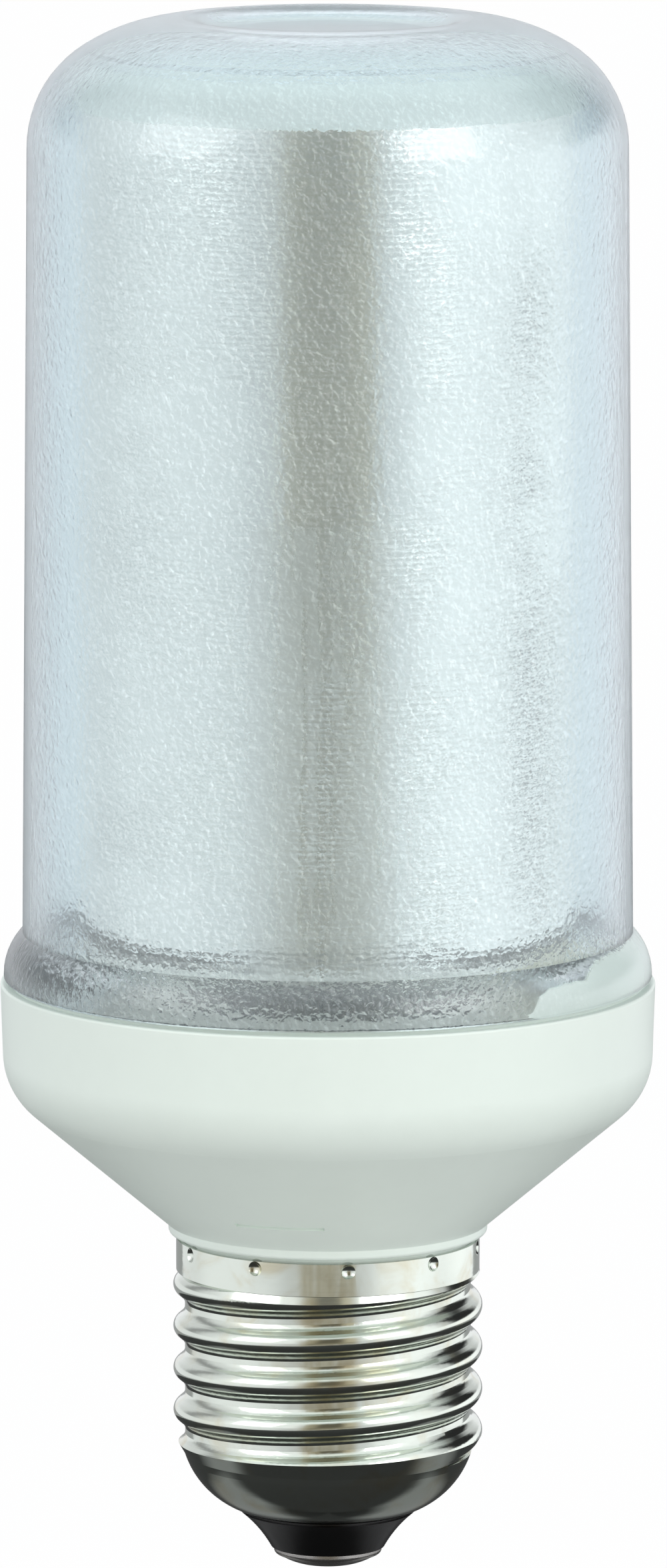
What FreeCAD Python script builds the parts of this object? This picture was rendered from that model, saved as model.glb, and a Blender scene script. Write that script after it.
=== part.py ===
"""Tubular LED lamp with an E27 screw cap.

The lamp stands cap down. Z is its axis, and the origin is the lowest point of the
centre contact. Angles are counted from +X towards +Y, and the lamp's front faces -Y.
All lengths are in millimetres.
"""

import math
import os
from types import SimpleNamespace

import FreeCAD
import Part
import Sketcher
from FreeCAD import Placement, Rotation, Vector

# Driving sizes, which fill the sheet
SIZES = {
    # E27 thread, rolled in sheet metal
    "thread_pitch": 3.629,
    "thread_crest_radius": 13.15,
    "thread_root_radius": 12.13,
    "thread_arc_radius": 1.025,
    "thread_first_crest": 11.57,
    "ridge_gap": 0.2,
    "ridge_depth": 0.5,
    "core_cover": 0.03,
    # Screw shell above and below the thread
    "shell_wall": 0.3,
    "shell_rim_height": 28.35,
    "band_radius": 12.9,
    "band_height": 2.75,
    "band_slope": 0.85,
    "dome_arc_radius": 7.47,
    "dome_centre_radius": 5.1,
    "dome_centre_height": 11.95,
    "dome_edge_height": 9.75,
    "dome_hole_radius": 7.2,
    "skin_overlap": 0.6,
    "crest_fade_bottom": 2.25,
    "crest_fade_top": 1.6,
    "crest_room": 0.4,
    "band_run_in": 0.3,
    "band_run_in_depth": 0.2,
    # Crimps that lock the shell on the housing
    "crimp_count": 10,
    "crimp_first_angle": -82.4,
    "crimp_punch_radius": 0.8,
    "crimp_depth": 0.3,
    "crimp_below_rim": 0.62,
    # Centre contact, a domed rivet
    "contact_radius": 4.6,
    "contact_flat_radius": 1.4,
    "contact_dome_radius": 5.2,
    "contact_edge_round": 0.35,
    "contact_thickness": 1.5,
    "contact_shank_radius": 1.2,
    "contact_shank_proud": 0.6,
    # Insulator between contact and shell
    "insulator_foot_radius": 4.85,
    "insulator_flare_radius": 7.45,
    "insulator_flare_arc": 11.0,
    "insulator_flange_radius": 9.0,
    "insulator_top_height": 7.6,
    "insulator_clearance": 0.12,
    # Housing: neck, lip, cone and cup
    "neck_bottom_height": 11.5,
    "neck_radius": 11.5,
    "neck_wall": 1.8,
    "neck_seat_depth": 2.15,
    "neck_seat_clearance": 0.1,
    "lip_gap": 0.45,
    "lip_radius": 13.55,
    "lip_height": 0.82,
    "lip_round": 0.35,
    "cone_angle": 40.2,
    "housing_wall": 1.8,
    "cup_radius": 27.45,
    "cup_draft": 0.3,
    "cup_round": 6.2,
    "housing_rise": 22.35,
    "rim_round": 0.2,
    "groove_height": 0.3,
    "groove_depth": 0.8,
    # Recessed bar on the cone, near the lip
    "bar_radius": 16.5,
    "bar_width": 0.6,
    "bar_depth": 0.22,
    "bar_angle": 27.0,
    "bar_start": -118.0,
    # Posts inside the housing that carry the driver board and the drum
    "post_count": 4,
    "post_width": 1.8,
    "post_step": 2.4,
    # Diffuser cover
    "cover_wall": 1.2,
    "flange_inset": 0.3,
    "flange_straight": 0.4,
    "flange_round": 0.3,
    "shoulder_arc": 5.0,
    "shoulder_width": 1.6,
    "tube_foot_height": 4.06,
    "tube_draft": 0.6,
    "tube_rise": 70.54,
    "corner_side_arc": 10.0,
    "corner_side_angle": 58.0,
    "corner_top_arc": 15.8,
    "dish_arc": 4.0,
    "dish_edge": 1.93,
    "adhesive_width": 0.5,
    "spigot_wall": 1.15,
    "spigot_depth": 2.6,
    # Carrier of the light source, with its foot flange
    "carrier_flange_clearance": 0.3,
    "carrier_flange_thickness": 1.6,
    "carrier_flange_sunk": 1.2,
    "carrier_window_width": 6.6,
    "carrier_wall": 1.6,
    "flange_slot_width": 8.0,
    "flange_slot_depth": 1.1,
    # Flexible circuit board round the carrier
    "flex_thickness": 0.25,
    "flex_clearance": 0.05,
    "flex_foot": 2.5,
    "flex_length": 68.0,
    "flex_seam_angle": 6.0,
    "flex_seam_direction": 150.0,
    "flex_tail_angle": 18.4,
    "flex_tail_direction": 90.0,
    "flex_tail_clearance": 1.0,
    # Light-emitting diode packages on the flexible board
    "led_rows": 9,
    "led_columns": 12,
    "led_width": 2.8,
    "led_length": 3.5,
    "led_thickness": 0.75,
    "led_solder": 0.05,
    "led_row_margin": 4.4,
    "led_row_pitch": 7.4,
    # Inner sleeve and the cap on the drum
    "sleeve_inset": 4.2,
    "sleeve_wall": 0.4,
    "light_space": 2.4,
    "drum_cap_proud": 0.3,
    "drum_cap_height": 3.5,
    "drum_cap_rise": 6.96,
    "drum_cap_round": 1.5,
    "drum_cap_plate": 1.6,
    "drum_cap_spigot": 3.2,
    "drum_cap_rib": 0.85,
    "drum_fit": 0.12,
    # Driver board and the parts on it
    "board_inset": 3.25,
    "board_thickness": 1.6,
    "board_sunk": 9.5,
    "bulk_capacitor_radius": 5.0,
    "bulk_capacitor_length": 15.0,
    "bulk_capacitor_east": 3.0,
    "bulk_capacitor_north": -1.0,
    "inductor_radius": 4.5,
    "inductor_waist": 3.3,
    "inductor_length": 7.5,
    "inductor_flange": 1.2,
    "inductor_east": -10.0,
    "inductor_north": 3.0,
    "film_capacitor_length": 11.0,
    "film_capacitor_width": 5.0,
    "film_capacitor_height": 7.0,
    "film_capacitor_north": 12.0,
    "rectifier_length": 6.5,
    "rectifier_width": 5.0,
    "rectifier_height": 2.6,
    "rectifier_east": 9.0,
    "rectifier_north": -11.0,
    "fuse_resistor_radius": 1.6,
    "fuse_resistor_length": 8.5,
    "fuse_resistor_east": -6.0,
    "fuse_resistor_north": -11.5,
    "fuse_resistor_lead": 0.3,
    "fuse_resistor_knee": 0.9,
    "fuse_resistor_gap": 0.6,
    "output_capacitor_radius": 4.0,
    "output_capacitor_length": 11.0,
    "output_capacitor_east": 5.0,
    "output_capacitor_north": -3.0,
    "driver_chip_length": 4.9,
    "driver_chip_width": 3.9,
    "driver_chip_height": 1.5,
    "driver_chip_east": -6.0,
    "driver_chip_north": 5.0,
    "diode_length": 4.3,
    "diode_width": 2.6,
    "diode_height": 2.2,
    "diode_east": -7.0,
    "diode_north": -4.0,
    "chip_resistor_count": 6,
    "chip_resistor_length": 2.0,
    "chip_resistor_width": 1.25,
    "chip_resistor_height": 0.55,
    "chip_resistor_spacing": 2.6,
    "chip_resistor_north": 12.0,
    "connector_length": 9.0,
    "connector_width": 4.0,
    "connector_height": 4.2,
    "connector_slot_length": 7.4,
    "connector_slot_width": 1.2,
    # Insulated leads from the cap to the driver board
    "lead_radius": 0.65,
    "lead_bend": 2.0,
    "live_lead_bend": 6.0,
    "live_lead_east": -5.0,
    "live_lead_north": -6.0,
    "live_lead_rise": 13.0,
    "live_lead_turn": 24.0,
    "neutral_lead_height": 10.3,
    "neutral_lead_inset": 8.6,
    "lead_gap": 0.3,
}

XZ = "XZ_Plane"


class Size:
    """A number together with the sheet formula that gives it."""

    def __init__(self, value, formula):
        self.value = value
        self.formula = formula

    def combine(self, sign, other, value):
        return Size(value, f"({self.formula} {sign} {formula_of(other)})")

    def __add__(self, other):
        return self.combine("+", other, self.value + value_of(other))

    def __sub__(self, other):
        return self.combine("-", other, self.value - value_of(other))

    def __mul__(self, other):
        return self.combine("*", other, self.value * value_of(other))

    def __truediv__(self, other):
        return self.combine("/", other, self.value / value_of(other))


def value_of(length):
    return length.value if isinstance(length, Size) else float(length)


def formula_of(length):
    return length.formula if isinstance(length, Size) else str(length)


def sine(angle):
    return Size(math.sin(math.radians(angle.value)), f"sin({angle.formula})")


def cosine(angle):
    return Size(math.cos(math.radians(angle.value)), f"cos({angle.formula})")


def tangent(angle):
    return Size(math.tan(math.radians(angle.value)), f"tan({angle.formula})")


def root(number):
    return Size(math.sqrt(number.value), f"sqrt({number.formula})")


doc = FreeCAD.newDocument("led_lamp")
sheet = doc.addObject("Spreadsheet::Sheet", "sizes")
for row, (alias, number) in enumerate(SIZES.items(), start=1):
    sheet.set(f"A{row}", alias)
    sheet.set(f"B{row}", str(number))
    sheet.setAlias(f"B{row}", alias)
doc.recompute()
s = SimpleNamespace(**{alias: Size(number, f"sizes.{alias}") for alias, number in SIZES.items()})
ZERO = Size(0.0, "0")

# Heights and radii that follow from the driving sizes
s.neck_seat_height = s.shell_rim_height - s.neck_seat_depth
s.seam_height = s.shell_rim_height + s.housing_rise
s.rim_radius = s.cup_radius + s.cup_draft
s.flange_radius = s.rim_radius - s.flange_inset
s.tube_foot_radius = s.flange_radius - s.shoulder_width
s.tube_top_radius = s.tube_foot_radius - s.tube_draft
s.tube_top_height = s.seam_height + s.tube_rise
s.spigot_radius = s.rim_radius - s.housing_wall - s.adhesive_width
s.sleeve_radius = s.tube_top_radius - s.sleeve_inset
s.drum_cap_radius = s.sleeve_radius + s.drum_cap_proud
s.drum_cap_top = s.tube_top_height + s.drum_cap_rise
s.drum_cap_bottom = s.drum_cap_top - s.drum_cap_height
s.carrier_radius = s.sleeve_radius - s.light_space
s.carrier_window_radius = s.carrier_radius - s.carrier_window_width
s.carrier_flange_radius = s.spigot_radius - s.spigot_wall - s.carrier_flange_clearance
s.carrier_flange_top = s.seam_height - s.carrier_flange_sunk
s.board_radius = s.cup_radius - s.housing_wall - s.board_inset
s.board_bottom = s.seam_height - s.board_sunk
s.post_foot_radius = s.board_radius - s.post_step
s.flex_bottom_height = s.carrier_flange_top + s.flex_foot
s.flex_top_height = s.flex_bottom_height + s.flex_length
s.flex_tail_bottom = s.board_bottom + s.board_thickness + s.flex_tail_clearance
s.led_row_first = s.flex_bottom_height + s.led_row_margin


# Outlines, revolved pieces and simple pieces


def line(radius, height):
    """A straight run of an outline to the point (radius, height)."""
    return radius, height, None, False


def arc(radius, height, bend, left=True):
    """A round run to (radius, height) whose centre lies left or right of its chord."""
    return radius, height, bend, left


def arc_middle(start, end, bend, left):
    """The middle point of the short arc of radius bend between two points."""
    chord = end - start
    half = chord.Length / 2
    normal = Vector(-chord.y, chord.x, 0).normalize() * (1 if left else -1)
    sagitta = bend - math.sqrt(bend * bend - half * half)
    return start + chord * 0.5 - normal * sagitta


def tie(sketch, geometry, point, direction, size):
    """Bind one coordinate of a sketch point to its formula."""
    if size is ZERO:
        axis = -2 if direction == "DistanceX" else -1
        sketch.addConstraint(Sketcher.Constraint("PointOnObject", geometry, point, axis))
        return
    constraint = Sketcher.Constraint(direction, -1, 1, geometry, point, size.value)
    index = sketch.addConstraint(constraint)
    sketch.setExpression(f"Constraints[{index}]", size.formula)


def draw_outline(sketch, runs):
    """Draw a closed outline of straight and round runs, every point tied to the sheet."""
    corners = [Vector(radius.value, height.value, 0) for radius, height, bend, left in runs]
    ends = []
    for index, (radius, height, bend, left) in enumerate(runs):
        start = corners[index - 1]
        end = corners[index]
        if bend is None:
            geometry = sketch.addGeometry(Part.LineSegment(start, end))
            first, last = 1, 2
        else:
            middle = arc_middle(start, end, bend.value, left)
            counterclockwise = (start, middle, end) if left else (end, middle, start)
            geometry = sketch.addGeometry(Part.Arc(*counterclockwise))
            first, last = (1, 2) if left else (2, 1)
        ends.append((geometry, first, last))
    before, before_last = ends[-1][0], ends[-1][2]
    for (geometry, first, last), (radius, height, bend, left) in zip(ends, runs):
        joint = Sketcher.Constraint("Coincident", before, before_last, geometry, first)
        sketch.addConstraint(joint)
        tie(sketch, geometry, last, "DistanceX", radius)
        tie(sketch, geometry, last, "DistanceY", height)
        if bend is not None:
            index = sketch.addConstraint(Sketcher.Constraint("Radius", geometry, bend.value))
            sketch.setExpression(f"Constraints[{index}]", bend.formula)
        before, before_last = geometry, last


def origin_feature(body, role):
    return next(item for item in body.Origin.OriginFeatures if item.Role == role)


def new_body(name):
    body = doc.addObject("PartDesign::Body", name)
    body.Label = name
    return body


def new_sketch(body, name, plane=XZ):
    sketch = body.newObject("Sketcher::SketchObject", name)
    sketch.AttachmentSupport = (origin_feature(body, plane), [""])
    sketch.MapMode = "FlatFace"
    return sketch


def turn(body, name, runs, kind="PartDesign::Revolution"):
    """Add or remove the solid that an outline makes when it turns round the lamp's axis."""
    sketch = new_sketch(body, f"{name}_outline")
    draw_outline(sketch, runs)
    feature = body.newObject(kind, name)
    feature.Profile = sketch
    feature.ReferenceAxis = (sketch, ["V_Axis"])
    feature.Angle = 360
    doc.recompute()
    return feature


def circle_edge(shape, radius, height):
    """The name of the round edge about the lamp's axis at a radius and height."""
    for number, edge in enumerate(shape.Edges, start=1):
        curve = edge.Curve
        if isinstance(curve, Part.Circle) and abs(curve.Radius - radius.value) < 0.01:
            if abs(edge.BoundBox.ZMin - height.value) < 0.01:
                return f"Edge{number}"
    raise ValueError(f"no round edge at radius {radius.value} and height {height.value}")


def round_edge(body, base, name, radius, height, bend):
    """Fillet the round edge of a body at a radius and height."""
    feature = body.newObject("PartDesign::Fillet", name)
    feature.Base = (base, [circle_edge(base.Shape, radius, height)])
    feature.Radius = bend.value
    feature.setExpression("Radius", bend.formula)
    doc.recompute()
    return feature


def bind(item, **formulas):
    """Bind properties of a primitive to sizes."""
    for name, size in formulas.items():
        item.setExpression(name, formula_of(size))


def place(item, east, north, up):
    """Bind the place of a primitive to sizes."""
    for axis, size in zip("xyz", (east, north, up)):
        item.setExpression(f"Placement.Base.{axis}", formula_of(size))


def block(name, length, width, height, east, north, bottom):
    """A box centred on a point of the board, with its lowest face at bottom."""
    item = doc.addObject("Part::Box", name)
    item.Label = name
    bind(item, Length=length, Width=width, Height=height)
    place(item, east - length / 2, north - width / 2, bottom)
    return item


def rod(name, radius, height, east, north, bottom):
    """An upright cylinder."""
    item = doc.addObject("Part::Cylinder", name)
    item.Label = name
    bind(item, Radius=radius, Height=height)
    place(item, east, north, bottom)
    return item


def joined(kind, name, *pieces):
    """A boolean of primitives under one name: Part::Cut of two, or Part::MultiFuse."""
    item = doc.addObject(kind, name)
    item.Label = name
    if kind == "Part::Cut":
        item.Base, item.Tool = pieces
    else:
        item.Shapes = list(pieces)
    return item


def feature_of(name, shape):
    """A piece whose shape the code works out from the sheet's values."""
    item = doc.addObject("Part::Feature", name)
    item.Label = name
    item.Shape = shape
    return item


# Screw shell, rolled with an E27 thread


def seam_to_back(solid):
    """Turn a round solid so that its seam edge lies at the lamp's back."""
    solid.rotate(Vector(), Vector(0, 0, 1), 90)
    return solid


def revolve_outline(edges):
    """A full turn of an outline in the XZ plane."""
    face = Part.Face(Part.Wire(edges))
    return seam_to_back(face.revolve(Vector(), Vector(0, 0, 1), 360))


def polyline(points):
    corners = [Vector(radius, 0, height) for radius, height in points]
    return [Part.LineSegment(a, b).toShape() for a, b in zip(corners, corners[1:])]


def dome_point(offset, radius=None, height=None):
    """The point of the dome's arc, moved inwards by offset, at a radius or at a height."""
    bend = s.dome_arc_radius.value - offset
    centre_radius = s.dome_centre_radius.value
    centre_height = s.dome_centre_height.value
    if radius is not None:
        return radius, centre_height - math.sqrt(bend**2 - (radius - centre_radius) ** 2)
    return centre_radius + math.sqrt(bend**2 - (centre_height - height) ** 2), height


def dome_middle(offset, start, end):
    """A point of the dome's arc between two of its points."""
    first = math.atan2(start[1] - s.dome_centre_height.value, start[0] - s.dome_centre_radius.value)
    last = math.atan2(end[1] - s.dome_centre_height.value, end[0] - s.dome_centre_radius.value)
    bend = s.dome_arc_radius.value - offset
    angle = (first + last) / 2
    radius = s.dome_centre_radius.value + bend * math.cos(angle)
    return Vector(radius, 0, s.dome_centre_height.value + bend * math.sin(angle))


def thread_profile(offset):
    """One crest of the thread with half a root on each side, in the XZ plane.

    The crest and the roots are arcs joined by straight flanks. The outline stops short of the
    next turn by the ridge's gap on each side, and its floor lies below the root, inside the core.
    """
    half_pitch = s.thread_pitch.value / 2
    crest_bend = s.thread_arc_radius.value - offset
    root_bend = s.thread_arc_radius.value + offset
    crest = s.thread_crest_radius.value - offset
    base = s.thread_root_radius.value - offset
    crest_centre = crest - crest_bend
    root_centre = base + root_bend
    rise = root_centre - crest_centre
    span = math.hypot(half_pitch, rise)
    slope = math.atan2(rise, half_pitch) + math.acos((crest_bend + root_bend) / span)
    height = s.thread_first_crest.value - s.thread_pitch.value

    def point(radius, along):
        return Vector(radius, 0, height + along)

    def root_radius(along):
        return root_centre - math.sqrt(root_bend**2 - (half_pitch - along) ** 2)

    crest_end = (crest_centre + crest_bend * math.sin(slope), crest_bend * math.cos(slope))
    root_start = (root_centre - root_bend * math.sin(slope), half_pitch - root_bend * math.cos(slope))
    side = half_pitch - s.ridge_gap.value
    middle = (root_start[1] + side) / 2
    floor = base - s.ridge_depth.value

    def flank(sign):
        """The flank, root arc and inner side of one half, from the crest downwards."""
        top = point(crest_end[0], sign * crest_end[1])
        turn_in = point(root_start[0], sign * root_start[1])
        end = point(root_radius(side), sign * side)
        return [
            Part.LineSegment(top, turn_in).toShape(),
            Part.Arc(turn_in, point(root_radius(middle), sign * middle), end).toShape(),
            Part.LineSegment(end, point(floor, sign * side)).toShape(),
        ]

    crest_arc = Part.Arc(
        point(crest_end[0], crest_end[1]), point(crest, 0), point(crest_end[0], -crest_end[1])
    ).toShape()
    floor_line = Part.LineSegment(point(floor, side), point(floor, -side)).toShape()
    return Part.Wire(Part.__sortEdges__([crest_arc, floor_line] + flank(1) + flank(-1)))


def threaded_core(offset):
    """A solid rod with the thread's form, a wall's offset inside the outer skin."""
    base = s.thread_root_radius.value - offset
    start = s.thread_first_crest.value - s.thread_pitch.value
    end = s.shell_rim_height.value
    helix = Part.makeHelix(s.thread_pitch.value, end - start, base - s.ridge_depth.value)
    helix.translate(Vector(0, 0, start))
    sweep = Part.BRepOffsetAPI.MakePipeShell(Part.Wire(helix))
    sweep.setFrenetMode(True)
    sweep.add(thread_profile(offset))
    sweep.build()
    sweep.makeSolid()
    core = seam_to_back(Part.makeCylinder(base + s.core_cover.value, end))
    return core.fuse(sweep.shape())


def thread_envelope(offset):
    """What bounds the thread: it fades in above the dome and out below the plain band."""
    edge = dome_point(offset, height=s.dome_edge_height.value)
    bottom = dome_point(offset, height=s.dome_edge_height.value - s.skin_overlap.value)
    full = s.thread_crest_radius.value - offset + s.crest_room.value
    band = s.band_radius.value - offset
    band_bottom = s.shell_rim_height.value - s.band_height.value
    start = s.dome_edge_height.value + s.crest_fade_bottom.value
    end = band_bottom + s.band_run_in.value
    points = [
        (0, bottom[1]),
        bottom,
        edge,
        (full, start),
        (full, band_bottom - s.crest_fade_top.value),
        (band - s.band_run_in_depth.value, end),
        (0, end),
        (0, bottom[1]),
    ]
    return revolve_outline(polyline(points))


def plain_band(offset, top):
    """The smooth collar above the thread, with a sloped lower edge."""
    band = s.band_radius.value - offset
    slope = s.band_slope.value
    bottom = s.shell_rim_height.value - s.band_height.value
    points = [(0, bottom - slope), (band - slope, bottom - slope), (band, bottom), (band, top)]
    return revolve_outline(polyline(points + [(0, top), (0, bottom - slope)]))


def dome(offset):
    """The rounded bottom of the shell, closed; its hole is cut later."""
    centre = s.dome_centre_radius.value
    start = dome_point(offset, radius=centre)
    end = dome_point(offset, height=s.dome_edge_height.value)
    bow = Part.Arc(Vector(start[0], 0, start[1]), dome_middle(offset, start, end),
                   Vector(end[0], 0, end[1])).toShape()
    rest = polyline([end, (0, end[1]), (0, start[1]), start])
    return revolve_outline([bow] + rest)


def skin(offset, top):
    """The closed form that one side of the sheet metal bounds."""
    thread = threaded_core(offset).common(thread_envelope(offset))
    return thread.fuse([plain_band(offset, top), dome(offset)]).removeSplitter()


def crimp_centres():
    """Centres of the punch ball, one for each crimp."""
    count = SIZES["crimp_count"]
    reach = s.band_radius.value + s.crimp_punch_radius.value - s.crimp_depth.value
    height = s.shell_rim_height.value - s.crimp_below_rim.value
    for number in range(count):
        angle = math.radians(s.crimp_first_angle.value + 360 / count * number)
        yield Vector(reach * math.cos(angle), reach * math.sin(angle), height)


def punches(extra):
    """The balls that press the crimps, larger by extra."""
    radius = s.crimp_punch_radius.value + extra
    return [Part.makeSphere(radius, centre) for centre in crimp_centres()]


def make_screw_shell():
    wall = s.shell_wall.value
    rim = s.shell_rim_height.value
    inside = skin(wall, rim + wall).cut(punches(wall))
    hole = Part.makeCylinder(s.dome_hole_radius.value, s.dome_edge_height.value)
    shell = skin(0.0, rim).cut(punches(0.0)).cut(inside).cut(hole)
    return feature_of("screw_shell", shell)


# Contact and insulator


def make_centre_contact():
    body = new_body("centre_contact")
    bend = s.contact_dome_radius
    shoulder = s.contact_radius - s.contact_edge_round
    reach = shoulder - s.contact_flat_radius
    rise = bend - root(bend * bend - reach * reach)
    shank_top = s.insulator_top_height + s.contact_shank_proud
    turn(body, "contact", [
        line(ZERO, ZERO),
        line(s.contact_flat_radius, ZERO),
        arc(shoulder, rise, bend),
        arc(s.contact_radius, rise + s.contact_edge_round, s.contact_edge_round),
        line(s.contact_radius, s.contact_thickness),
        line(s.contact_shank_radius, s.contact_thickness),
        line(s.contact_shank_radius, shank_top),
        line(ZERO, shank_top),
    ])
    return body


def make_insulator():
    body = new_body("cap_insulator")
    gap = s.insulator_clearance
    throat = s.dome_hole_radius - gap
    bore = s.contact_shank_radius + gap / 2
    inner_bend = s.dome_arc_radius - s.shell_wall - gap
    outer_bend = s.dome_arc_radius + gap

    def dome_height(bend, radius):
        reach = radius - s.dome_centre_radius
        return s.dome_centre_height - root(bend * bend - reach * reach)

    turn(body, "insulator", [
        line(bore, s.contact_thickness),
        line(s.insulator_foot_radius, s.contact_thickness),
        arc(s.insulator_flare_radius, dome_height(outer_bend, throat), s.insulator_flare_arc, False),
        line(throat, dome_height(outer_bend, throat)),
        line(throat, dome_height(inner_bend, throat)),
        arc(s.insulator_flange_radius, dome_height(inner_bend, s.insulator_flange_radius), inner_bend),
        line(s.insulator_flange_radius, s.insulator_top_height),
        line(bore, s.insulator_top_height),
    ])
    return body


# Housing


def cone_height(radius):
    """Height of the housing's outer cone at a radius."""
    start = s.shell_rim_height + s.lip_gap + s.lip_height
    return start + (radius - s.lip_radius) * tangent(s.cone_angle)


def make_housing():
    body = new_body("base_housing")
    seat = s.band_radius - s.shell_wall - s.neck_seat_clearance
    lip_bottom = s.shell_rim_height + s.lip_gap
    corner = cone_height(s.cup_radius)
    groove_floor = s.seam_height - s.groove_height
    outer = turn(body, "housing_outside", [
        line(ZERO, s.neck_bottom_height),
        line(s.neck_radius, s.neck_bottom_height),
        line(s.neck_radius, s.neck_seat_height),
        line(seat, s.neck_seat_height),
        line(seat, lip_bottom),
        line(s.lip_radius - s.lip_round, lip_bottom),
        arc(s.lip_radius, lip_bottom + s.lip_round, s.lip_round),
        line(s.lip_radius, lip_bottom + s.lip_height),
        line(s.cup_radius, corner),
        line(s.rim_radius, groove_floor),
        line(s.rim_radius - s.groove_depth, groove_floor),
        line(s.rim_radius - s.groove_depth, s.seam_height),
        line(ZERO, s.seam_height),
    ])
    outer = round_edge(body, outer, "cup_round", s.cup_radius, corner, s.cup_round)
    round_edge(body, outer, "rim_round", s.rim_radius, groove_floor, s.rim_round)
    inside = s.neck_radius - s.neck_wall
    cup = s.cup_radius - s.housing_wall
    step = s.housing_wall / cosine(s.cone_angle)
    inner_corner = cone_height(cup) + step
    hollow = turn(body, "housing_inside", [
        line(ZERO, s.neck_bottom_height),
        line(inside, s.neck_bottom_height),
        line(inside, cone_height(inside) + step),
        line(cup, inner_corner),
        line(cup, s.seam_height - s.spigot_depth),
        line(s.rim_radius - s.housing_wall, s.seam_height - s.spigot_depth),
        line(s.rim_radius - s.housing_wall, s.seam_height),
        line(ZERO, s.seam_height),
    ], "PartDesign::Groove")
    bend = s.cup_round - s.housing_wall
    round_edge(body, hollow, "inner_round", cup, inner_corner, bend)
    add_posts(body)
    add_crimp_seats(body)
    add_bar(body)
    return body


def add_posts(body):
    """Stepped posts on the cone's inside: the board rests on the step, the drum on the top."""
    sketch = new_sketch(body, "post_outline")
    board_edge = s.board_radius + s.drum_fit * 2
    foot = s.post_foot_radius
    sunk = s.cup_radius - s.housing_wall / 2
    wall_middle = s.housing_wall / 2 / cosine(s.cone_angle)
    flange_bottom = s.carrier_flange_top - s.carrier_flange_thickness
    draw_outline(sketch, [
        line(foot, cone_height(foot) + wall_middle),
        line(foot, s.board_bottom),
        line(board_edge, s.board_bottom),
        line(board_edge, flange_bottom),
        line(sunk, flange_bottom),
        line(sunk, cone_height(sunk) + wall_middle * 2),
    ])
    post = body.newObject("PartDesign::Pad", "post")
    post.Profile = sketch
    post.SideType = "Symmetric"
    bind(post, Length=s.post_width)
    doc.recompute()
    ring = body.newObject("PartDesign::PolarPattern", "posts")
    ring.Originals = [post]
    ring.Axis = (origin_feature(body, "Z_Axis"), [""])
    ring.Angle = 360
    bind(ring, Occurrences=s.post_count)
    body.Tip = ring
    doc.recompute()


def add_crimp_seats(body):
    """Hollows in the neck's seat that the crimps of the shell press into."""
    height = s.shell_rim_height - s.crimp_below_rim
    reach = s.band_radius + s.crimp_punch_radius - s.crimp_depth
    bend = s.crimp_punch_radius + s.shell_wall + s.neck_seat_clearance
    ball = body.newObject("PartDesign::SubtractiveSphere", "crimp_seat")
    bind(ball, Radius=bend)
    angle = s.crimp_first_angle
    ball.AttachmentSupport = (origin_feature(body, "XY_Plane"), [""])
    ball.MapMode = "FlatFace"
    ball.setExpression("AttachmentOffset.Base.x", (reach * cosine(angle)).formula)
    ball.setExpression("AttachmentOffset.Base.y", (reach * sine(angle)).formula)
    ball.setExpression("AttachmentOffset.Base.z", height.formula)
    doc.recompute()
    ring = body.newObject("PartDesign::PolarPattern", "crimp_seats")
    ring.Originals = [ball]
    ring.Axis = (origin_feature(body, "Z_Axis"), [""])
    ring.Angle = 360
    bind(ring, Occurrences=s.crimp_count)
    body.Tip = ring
    doc.recompute()


def add_bar(body):
    """A shallow recessed bar that runs part of the way round the cone at the front."""
    sketch = new_sketch(body, "bar_outline")
    sketch.AttachmentOffset = Placement(Vector(), Rotation(Vector(0, 1, 0), s.bar_start.value))
    sketch.setExpression("AttachmentOffset.Rotation.Angle", s.bar_start.formula)
    reach = s.bar_width / 2
    along = reach * cosine(s.cone_angle)
    up = reach * sine(s.cone_angle)
    inwards = s.bar_depth * sine(s.cone_angle)
    upwards = s.bar_depth * cosine(s.cone_angle)
    height = cone_height(s.bar_radius)
    draw_outline(sketch, [
        line(s.bar_radius - along + inwards, height - up - upwards),
        line(s.bar_radius + along + inwards, height + up - upwards),
        line(s.bar_radius + along - inwards, height + up + upwards),
        line(s.bar_radius - along - inwards, height - up + upwards),
    ])
    groove = body.newObject("PartDesign::Groove", "bar")
    groove.Profile = sketch
    groove.ReferenceAxis = (sketch, ["V_Axis"])
    bind(groove, Angle=s.bar_angle)
    doc.recompute()


# Diffuser cover and the bead that holds it


def cover_runs(offset):
    """The cover's outline from the foot of the tube to the axis, a wall's offset inwards."""
    side = s.corner_side_arc
    top = s.corner_top_arc
    angle = s.corner_side_angle
    side_centre = s.tube_top_radius - side
    crown_radius = side_centre + (side - top) * cosine(angle)
    crown_centre = s.tube_top_height + (side - top) * sine(angle)
    crown = crown_centre + top
    dish_centre = crown - s.dish_arc
    dish_rise = root(s.dish_arc * s.dish_arc - s.dish_edge * s.dish_edge)
    lean = s.dish_edge / s.dish_arc
    upright = dish_rise / s.dish_arc
    floor_radius = crown_radius - s.dish_edge * 2
    floor = dish_centre + dish_rise * 2 - s.dish_arc
    reach = side - offset
    return [
        line(s.tube_top_radius - offset, s.tube_top_height),
        arc(side_centre + reach * cosine(angle), s.tube_top_height + reach * sine(angle), reach),
        arc(crown_radius, crown - offset, top - offset),
        arc(crown_radius - (s.dish_arc - offset) * lean,
            dish_centre + (s.dish_arc - offset) * upright, s.dish_arc - offset),
        arc(floor_radius, floor - offset, s.dish_arc + offset, False),
        line(ZERO, floor - offset),
    ]


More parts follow.
